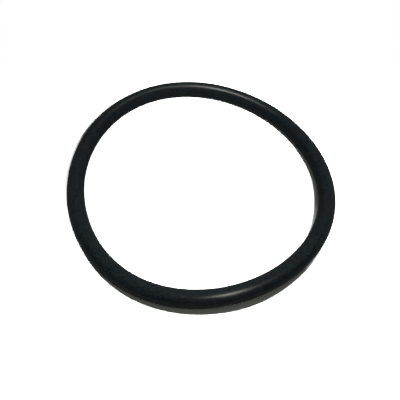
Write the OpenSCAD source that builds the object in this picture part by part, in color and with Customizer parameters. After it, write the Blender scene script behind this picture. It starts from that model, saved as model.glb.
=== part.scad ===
// Rubber o-ring, lying free on a table.
// One round cord of moulded rubber, closed on itself. Free rubber never lies quite
// round, so the cord follows a loop of tangent arcs of slightly different bend
// radius. The loop keeps the length that it was moulded to, and the ring is a true
// circle again once a groove holds it.
// Millimetres, +Z up. The origin is on the table, under the middle of the ring.

/* [Seal size] */
// Inside diameter of the ring when a groove holds it round
inside_d = 70; // [50:0.5:150]
// Diameter of the round cord, which is also the height of the lying ring
cord_d = 5; // [3:0.1:8]

/* [Parting line] */
// Width of the flash that is left along the mould's parting line, inside and outside
flash_w = 0.16; // [0.08:0.02:0.4]
// How far the trimmed flash stands out of the round cord
flash_h = 0.05; // [0.02:0.01:0.15]

/* [Free shape] */
// Change of the bend radius that comes twice a turn and makes the loop oval
oval = 1.5; // [0:0.1:4]
// Direction that one flat side of the oval faces, in degrees from +X
oval_at = 50; // [0:1:180]
// Change of the bend radius that comes three times a turn
three_lobe = 6; // [0:0.1:9]
// Direction that one of its three flat sides faces
three_lobe_at = 58; // [0:1:120]
// Change of the bend radius that comes four times a turn
four_lobe = 1.5; // [0:0.1:4]
// Direction that one of its four flat sides faces
four_lobe_at = 28; // [0:1:90]

/* [Hidden] */

// Directions that the joints of the first quarter face. The 24-7-25 and 4-3-5
// triangles give them exact decimals, so that the arcs meet without a gap.
QUARTER = [[1, 0], [0.96, 0.28], [0.8, 0.6], [0.6, 0.8], [0.28, 0.96]];
// Arcs in a quarter, and in the whole loop
quarter = len(QUARTER);
arcs = 4 * quarter;
// Reach of the sector that cuts an arc out of its circle, past any ring in range
SECTOR_REACH = 200;
// Sides that stand for a full circle in a quick view
LOOP_FN = 240;
CORD_FN = 72;
// Black nitrile rubber
RUBBER = "#1c2022";

// Rounds a size to a step, which keeps the sizes of the arcs exact decimals too
function snap(size, step) = step * round(size / step);

function sum(list, i = 0) =
    i == len(list) - 1 ? list[i] : list[i] + sum(list, i + 1);

// Direction that joint i faces: each quarter is the first one, turned
function joint(i) =
    let (v = QUARTER[i % quarter], side = floor(i / quarter) % 4)
    side == 0 ? v : side == 1 ? [-v.y, v.x] : side == 2 ? -v : [v.y, -v.x];

// Direction that the middle of arc i faces, and the angle that the arc turns through
function facing(i) = joint(i) + joint(i + 1);
function turn(i) = acos(joint(i) * joint(i + 1));

// How much the bend radius of arc i differs from that of a round ring
function change(i) =
    let (angle = atan2(facing(i).y, facing(i).x))
    oval * cos(2 * (angle - oval_at))
    + three_lobe * cos(3 * (angle - three_lobe_at))
    + four_lobe * cos(4 * (angle - four_lobe_at));

changes = [for (i = [0:arcs - 1]) snap(change(i), 0.1)];

// Bend radius that the changes are counted from. What they add to the length of the
// loop is taken off here, so that the free ring is as long as the round one.
added = sum([for (i = [0:arcs - 1]) changes[i] * turn(i)]) / 360;
mean_bend = snap((inside_d + cord_d) / 2 - added, 0.01);

// How far the two ends of the loop would miss each other, which the top half of the
// loop makes good along X and the right half along Y
miss = sum([for (i = [0:arcs - 1]) changes[i] * (joint(i + 1) - joint(i))]);
bends = [
    for (i = [0:arcs - 1])
        mean_bend + changes[i]
        + (facing(i).y > 0 ? miss.x / 2 : 0)
        - (facing(i).x > 0 ? miss.y / 2 : 0)
];

// Centres of the arcs. Tangent arcs have theirs on one line with the joint between
// them, so each centre lies from the last one along that joint's direction.
centres = [
    for (
        i = 0, at = [0, 0];
        i < arcs;
        i = i + 1,
        at = at + (bends[i - 1] - bends[i % arcs]) * joint(i)
    ) at
];

// Middle of the loop, from the joints that face +X, +Y, -X and -Y
middle = [
    (centres[0].x + bends[0] + centres[2 * quarter].x - bends[2 * quarter]) / 2,
    (centres[quarter].y + bends[quarter]
        + centres[3 * quarter].y - bends[3 * quarter]) / 2
];

// Round cord with the flash on both of its edges
module cord_section() {
    circle(d = cord_d, $fn = CORD_FN);
    square([cord_d + 2 * flash_h, flash_w], center = true);
}

// Everything that an arc's centre sees between its two joints
module sector(i) {
    linear_extrude(2 * cord_d, center = true)
        polygon([[0, 0], SECTOR_REACH * joint(i), SECTOR_REACH * joint(i + 1)]);
}

module cord_arc(i) {
    translate(centres[i])
        intersection() {
            rotate_extrude($fn = LOOP_FN)
                translate([bends[i], 0])
                    cord_section();
            sector(i);
        }
}

module o_ring() {
    color(RUBBER)
        translate([-middle.x, -middle.y, cord_d / 2])
            for (i = [0:arcs - 1])
                cord_arc(i);
}

o_ring();
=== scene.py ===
"""A moulded rubber o-ring, lying free on a white table."""
import math

import bmesh
import bpy
from mathutils import Matrix, Vector


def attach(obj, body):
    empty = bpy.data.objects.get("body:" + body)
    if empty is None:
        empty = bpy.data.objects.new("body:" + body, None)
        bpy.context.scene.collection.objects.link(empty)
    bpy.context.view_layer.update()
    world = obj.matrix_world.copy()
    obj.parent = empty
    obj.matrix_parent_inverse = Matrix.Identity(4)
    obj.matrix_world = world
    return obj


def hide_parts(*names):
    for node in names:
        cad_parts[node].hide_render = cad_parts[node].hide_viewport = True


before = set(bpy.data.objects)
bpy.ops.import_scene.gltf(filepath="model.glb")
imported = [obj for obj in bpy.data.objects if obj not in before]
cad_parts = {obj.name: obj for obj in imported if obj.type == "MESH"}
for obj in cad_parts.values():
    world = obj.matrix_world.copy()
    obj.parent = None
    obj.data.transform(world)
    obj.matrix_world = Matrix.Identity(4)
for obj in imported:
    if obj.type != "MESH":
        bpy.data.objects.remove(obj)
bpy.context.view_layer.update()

# One millimetre in Blender's metres. All sizes and places below are in millimetres.
MM = 0.001

# Seal size, parting line and free shape, the same values as the solid has
INSIDE_D = 70
CORD_D = 5
FLASH_W = 0.16
FLASH_H = 0.05
# Change of bend radius, times a turn that it comes, direction that it faces in degrees
LOBES = ((1.5, 2, 50), (6, 3, 58), (1.5, 4, 28))

# Directions that the joints between the arcs of the first quarter face
QUARTER = tuple(Vector(d) for d in ((1, 0), (0.96, 0.28), (0.8, 0.6), (0.6, 0.8), (0.28, 0.96)))
ARCS = 4 * len(QUARTER)

# Mesh density: cross-sections in an arc of the loop, and points on half of a cross-section
SECTIONS_PER_ARC = 36
CORD_POINTS = 40
# Edges that turn by more than this stay crisp, which are those of the flash
CRISP = math.radians(30)

# Nitrile rubber: its colour in the pits of the grain, where it is darkened as painted shade, and on
# the tops, and its IOR
PIT_COLOUR = "#060b10"
TOP_COLOUR = "#1f2528"
RUBBER_IOR = 1.52
# Width and height of the grain that the ground mould leaves. The real one is some 0.05 mm
# wide, too fine to show, so it is drawn as coarse as it needs to be.
GRAIN = 0.36
GRAIN_HEIGHT = 0.05
GRAIN_STRENGTH = 0.25
# Finer layers of the grain's noise, and the part of its range that leads from pits to tops
GRAIN_DETAIL = 1
GRAIN_RANGE = (0.4, 0.6)
# Width of the patches in which mould release blurs the sheen, and the roughness outside
# and inside them
PATCH = 6
PATCH_DETAIL = 2
PATCH_RANGE = (0.3, 0.7)
ROUGHNESS = (0.32, 0.4)

# Table: half its side, and the distances from the middle of the ring at which its lit
# paper begins to pass into plain white and has done so
TABLE_HALF = 3000
FADE_FROM = 60
FADE_TO = 90
# How much brighter than white paper the camera sees the lit table, so that the soft rim of
# a shadow goes white and its dark part shows, as in the photograph
PAPER_LEVEL = 2.6
# The paper as the rubber sees it
PAPER_COLOUR = "#606260"
WHITE = (1, 1, 1, 1)

# Soft panels that light the rubber and the table: name, place, side, watts, and two points
# of the table. A panel lights only what is in front of its own plane, so it is turned until
# that plane meets the table in the line through the two points. The front panel lights the
# far half of the table, and the other two light the near half.
PANELS = (
    ("front_panel", (82, -112, 220), 40, 4, ((-60, -20), (60, -28))),
    ("left_panel", (-100, 50, 338), 30, 6.5, ((40, -5), (-60, 21))),
    ("right_panel", (130, 163, 330), 30, 9.5, ((60, 25), (-60, 17))),
)
# Spots that show only as highlights, each on its own stretch of the ring: name, place, aim,
# full angle of the cone in degrees, radius, watts
SPOTS = (
    ("far_spot", (-25, 78, 400), (4.5, 37, 4), 5.1, 14, 2.6),
    ("left_spot", (27, 158, 381), (-22, 31, 4), 8, 14, 0.3),
    ("near_spot", (76, -29, 398), (9.7, -37, 4), 1.6, 4, 2.85),
    ("near_tail_spot", (76, -29, 398), (16, -35.5, 4), 8, 14, 0.5),
)
# Warm white of the spots
SPOT_COLOUR = "#fffdf2"

# Level of the room's light in the shadows, and where the rubber mirrors its front and back
ROOM_FILL = 0.046
ROOM_FRONT = 0.025
ROOM_BACK = 0.12
# How far back a mirrored direction points where the room is at its front and back levels
FRONT_FROM = -0.1
BACK_FROM = 0.5
# Slightly green white of the room, which the shadows take on
ROOM_COLOUR = "#f8fff2"

# Where the photograph was taken from, its roll in degrees, and its focal length in pixels
CAMERA_PLACE = Vector((0, -75.9, 114))
CAMERA_AIM = Vector((-0.11, -7.22, 2.5))
CAMERA_ROLL = 4.35
FOCAL_PIXELS = 446.1
IMAGE_PIXELS = 400
# Width of the sensor that the lens is worked out for
SENSOR_WIDTH = 36
# Nearest thing that the camera sees
CLIP_START = 10


def linear(hex_colour):
    """The linear colour that Blender wants, from an sRGB hex value."""
    parts = [int(hex_colour[i:i + 2], 16) / 255 for i in (1, 3, 5)]
    return tuple(p / 12.92 if p <= 0.04045 else ((p + 0.055) / 1.055) ** 2.4 for p in parts) + (1.0,)


def joint(i):
    """Direction that joint i of the loop faces: each quarter is the first one, turned."""
    v = QUARTER[i % len(QUARTER)]
    for _ in range(i // len(QUARTER) % 4):
        v = Vector((-v.y, v.x))
    return v


def arc_bends():
    """Bend radius of each arc, rounded as in the solid. The loop closes, and is as long as
    the round ring."""
    changes, turns = [], []
    for i in range(ARCS):
        facing = joint(i) + joint(i + 1)
        angle = math.atan2(facing.y, facing.x)
        change = sum(size * math.cos(times * (angle - math.radians(at))) for size, times, at in LOBES)
        changes.append(round(change, 1))
        turns.append(joint(i).angle(joint(i + 1)))
    added = sum(c * t for c, t in zip(changes, turns)) / math.tau
    mean_bend = round((INSIDE_D + CORD_D) / 2 - added, 2)
    miss = sum((c * (joint(i + 1) - joint(i)) for i, c in enumerate(changes)), Vector((0, 0)))
    bends = []
    for i, change in enumerate(changes):
        facing = joint(i) + joint(i + 1)
        top = miss.x / 2 if facing.y > 0 else 0
        right = miss.y / 2 if facing.x > 0 else 0
        bends.append(mean_bend + change + top - right)
    return bends


def loop_stations():
    """Points of the cord's centreline, each with the direction that it faces."""
    bends = arc_bends()
    centre = Vector((0, 0))
    stations = []
    for i, bend in enumerate(bends):
        if i:
            centre = centre + (bends[i - 1] - bend) * joint(i)
        start = math.atan2(joint(i).y, joint(i).x)
        turn = joint(i).angle(joint(i + 1))
        for step in range(SECTIONS_PER_ARC):
            angle = start + turn * step / SECTIONS_PER_ARC
            out = Vector((math.cos(angle), math.sin(angle)))
            stations.append((centre + bend * out, out))
    xs = [p.x for p, _ in stations]
    ys = [p.y for p, _ in stations]
    middle = Vector(((min(xs) + max(xs)) / 2, (min(ys) + max(ys)) / 2))
    return [(p - middle, out) for p, out in stations]


def cord_section():
    """Outline of the cord as (outwards, up) points: round, with the flash on both edges."""
    cord_r = CORD_D / 2
    flash_angle = math.asin(FLASH_W / 2 / cord_r)
    half = []
    for k in range(CORD_POINTS + 1):
        angle = flash_angle + (math.pi - 2 * flash_angle) * k / CORD_POINTS
        half.append((cord_r * math.cos(angle), cord_r * math.sin(angle)))
    tip = cord_r + FLASH_H
    upper = [(tip, FLASH_W / 2)] + half + [(-tip, FLASH_W / 2)]
    return upper + [(x, -y) for x, y in reversed(upper)]


def ring_mesh():
    """The cord swept round its loop, smooth but for the edges of the flash."""
    bm = bmesh.new()
    rows = []
    for point, out in loop_stations():
        row = []
        for across, up in cord_section():
            place = point + across * out
            row.append(bm.verts.new(Vector((place.x, place.y, up + CORD_D / 2)) * MM))
        rows.append(row)
    for row, following in zip(rows, rows[1:] + rows[:1]):
        for k in range(len(row)):
            face = bm.faces.new((row[k - 1], row[k], following[k], following[k - 1]))
            face.smooth = True
    bmesh.ops.recalc_face_normals(bm, faces=bm.faces)
    for edge in bm.edges:
        edge.smooth = edge.calc_face_angle() < CRISP
    mesh = bpy.data.meshes.new("moulded_ring")
    bm.to_mesh(mesh)
    bm.free()
    return mesh


def add(tree, kind, links=None, **settings):
    """Adds a node, sets its values and links its inputs."""
    node = tree.nodes.new(kind)
    for name, value in settings.items():
        setattr(node, name, value)
    for socket, source in (links or {}).items():
        target = node.inputs[socket]
        if isinstance(source, bpy.types.NodeSocket):
            tree.links.new(source, target)
        else:
            target.default_value = source
    return node


def new_material(name):
    material = bpy.data.materials.new(name)
    material.use_nodes = True
    material.node_tree.nodes.clear()
    return material, material.node_tree


def moulded_nitrile_rubber():
    """Nitrile rubber filled with carbon black, as it leaves a finely ground steel mould. The
    eye sees a nearly black, slightly cool cord with a soft sheen, and up close a fine grain."""
    material, tree = new_material("moulded_nitrile_rubber")
    place = add(tree, "ShaderNodeTexCoord").outputs["Object"]
    grain = add(tree, "ShaderNodeTexNoise", {
        "Vector": place,
        "Scale": 1 / (GRAIN * MM),
        "Detail": GRAIN_DETAIL,
    })
    patches = add(tree, "ShaderNodeTexNoise", {
        "Vector": place,
        "Scale": 1 / (PATCH * MM),
        "Detail": PATCH_DETAIL,
    })
    # The pits of the grain are painted darker, a painted shade that looks like a fine dark speckle
    painted_pit_shade = add(tree, "ShaderNodeMapRange", {
        "Value": grain.outputs["Fac"],
        "From Min": GRAIN_RANGE[0],
        "From Max": GRAIN_RANGE[1],
    })
    colour = add(tree, "ShaderNodeMix", {
        "Factor": painted_pit_shade.outputs["Result"],
        "A": linear(PIT_COLOUR),
        "B": linear(TOP_COLOUR),
    }, data_type="RGBA")
    # A trace of mould release lies in patches, where the sheen is a little more blurred
    roughness = add(tree, "ShaderNodeMapRange", {
        "Value": patches.outputs["Fac"],
        "From Min": PATCH_RANGE[0],
        "From Max": PATCH_RANGE[1],
        "To Min": ROUGHNESS[0],
        "To Max": ROUGHNESS[1],
    })
    bump = add(tree, "ShaderNodeBump", {
        "Height": grain.outputs["Fac"],
        "Strength": GRAIN_STRENGTH,
        "Distance": GRAIN_HEIGHT * MM,
    })
    shader = add(tree, "ShaderNodeBsdfPrincipled", {
        "Base Color": colour.outputs["Result"],
        "Roughness": roughness.outputs["Result"],
        "IOR": RUBBER_IOR,
        "Normal": bump.outputs["Normal"],
    })
    add(tree, "ShaderNodeOutputMaterial", {"Surface": shader.outputs["BSDF"]})
    return material


def table_paper():
    """Matt white paper. The camera sees it white but for the ring's shadow. The rubber sees
    it as a dim grey, which keeps its flanks as dark as in the photograph."""
    material, tree = new_material("table_paper")
    path = add(tree, "ShaderNodeLightPath")
    seen = add(tree, "ShaderNodeMix", {
        "Factor": path.outputs["Is Camera Ray"],
        "A": linear(PAPER_COLOUR),
        "B": (PAPER_LEVEL, PAPER_LEVEL, PAPER_LEVEL, 1),
    }, data_type="RGBA")
    paper = add(tree, "ShaderNodeBsdfDiffuse", {"Color": seen.outputs["Result"]})
    # Further out than the lamps reach, the camera sees plain white
    place = add(tree, "ShaderNodeTexCoord").outputs["Object"]
    reach = add(tree, "ShaderNodeVectorMath", {0: place}, operation="LENGTH")
    fade = add(tree, "ShaderNodeMapRange", {
        "Value": reach.outputs["Value"],
        "From Min": FADE_FROM * MM,
        "From Max": FADE_TO * MM,
    })
    away = add(tree, "ShaderNodeMath", {
        0: fade.outputs["Result"],
        1: path.outputs["Is Camera Ray"],
    }, operation="MULTIPLY")
    white = add(tree, "ShaderNodeEmission", {"Color": WHITE})
    mixed = add(tree, "ShaderNodeMixShader", {
        "Fac": away.outputs["Value"],
        1: paper.outputs["BSDF"],
        2: white.outputs["Emission"],
    })
    add(tree, "ShaderNodeOutputMaterial", {"Surface": mixed.outputs["Shader"]})
    return material


def make_ring():
    ring = bpy.data.objects.new("o_ring_rubber", ring_mesh())
    bpy.context.collection.objects.link(ring)
    ring.data.materials.append(moulded_nitrile_rubber())
    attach(ring, "root")
    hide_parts("o_ring")


def make_table():
    half = TABLE_HALF * MM
    corners = [(-half, -half, 0), (half, -half, 0), (half, half, 0), (-half, half, 0)]
    mesh = bpy.data.meshes.new("table")
    mesh.from_pydata(corners, [], [(0, 1, 2, 3)])
    mesh.materials.append(table_paper())
    table = bpy.data.objects.new("table", mesh)
    bpy.context.collection.objects.link(table)


def along_edge(place, edge):
    """Direction in which a panel faces to light the table up to a line and no further."""
    start, end = (Vector((x, y, 0)) - Vector(place) for x, y in edge)
    return end.cross(start)


def make_lamp(kind, name, place, facing, watts, sheen_only=False):
    """A lamp that either lights surfaces and leaves no highlight, or shows only as a sheen."""
    lamp = bpy.data.lights.new(name, kind)
    lamp.energy = watts
    holder = bpy.data.objects.new(name, lamp)
    bpy.context.collection.objects.link(holder)
    holder.location = Vector(place) * MM
    holder.rotation_euler = facing.to_track_quat("-Z", "Y").to_euler()
    holder.visible_camera = False
    holder.visible_glossy = sheen_only
    holder.visible_diffuse = not sheen_only
    return lamp


def make_lamps():
    for name, place, side, watts, edge in PANELS:
        make_lamp("AREA", name, place, along_edge(place, edge), watts).size = side * MM
    for name, place, aim, cone, radius, watts in SPOTS:
        spot = make_lamp("SPOT", name, place, Vector(aim) - Vector(place), watts, sheen_only=True)
        spot.shadow_soft_size = radius * MM
        spot.spot_size = math.radians(cone)
        spot.spot_blend = 1
        spot.color = linear(SPOT_COLOUR)[:3]


def make_room():
    """Dim room light, brighter behind the ring, in front of a white backdrop."""
    world = bpy.data.worlds.new("room")
    world.use_nodes = True
    tree = world.node_tree
    tree.nodes.clear()
    path = add(tree, "ShaderNodeLightPath")
    direction = add(tree, "ShaderNodeTexCoord").outputs["Generated"]
    backwards = add(tree, "ShaderNodeSeparateXYZ", {"Vector": direction}).outputs["Y"]
    mirrored = add(tree, "ShaderNodeMapRange", {
        "Value": backwards,
        "From Min": FRONT_FROM,
        "From Max": BACK_FROM,
        "To Min": ROOM_FRONT,
        "To Max": ROOM_BACK,
    })
    level = add(tree, "ShaderNodeMix", {
        "Factor": path.outputs["Is Diffuse Ray"],
        "A": mirrored.outputs["Result"],
        "B": ROOM_FILL,
    })
    room = add(tree, "ShaderNodeBackground", {
        "Color": linear(ROOM_COLOUR),
        "Strength": level.outputs["Result"],
    })
    backdrop = add(tree, "ShaderNodeBackground", {"Color": WHITE})
    seen = add(tree, "ShaderNodeMixShader", {
        "Fac": path.outputs["Is Camera Ray"],
        1: room.outputs["Background"],
        2: backdrop.outputs["Background"],
    })
    add(tree, "ShaderNodeOutputWorld", {"Surface": seen.outputs["Shader"]})
    bpy.context.scene.world = world


def make_camera():
    data = bpy.data.cameras.new("camera")
    data.sensor_width = SENSOR_WIDTH
    data.lens = data.sensor_width * FOCAL_PIXELS / IMAGE_PIXELS
    data.clip_start = CLIP_START * MM
    data.clip_end = 4 * TABLE_HALF * MM
    camera = bpy.data.objects.new("camera", data)
    bpy.context.collection.objects.link(camera)
    look = (CAMERA_AIM - CAMERA_PLACE).to_track_quat("-Z", "Y").to_matrix()
    roll = Matrix.Rotation(math.radians(CAMERA_ROLL), 3, "Z")
    camera.matrix_world = Matrix.Translation(CAMERA_PLACE * MM) @ (look @ roll).to_4x4()
    bpy.context.scene.camera = camera


make_ring()
make_table()
make_lamps()
make_room()
make_camera()
bpy.context.scene.view_settings.view_transform = "Standard"
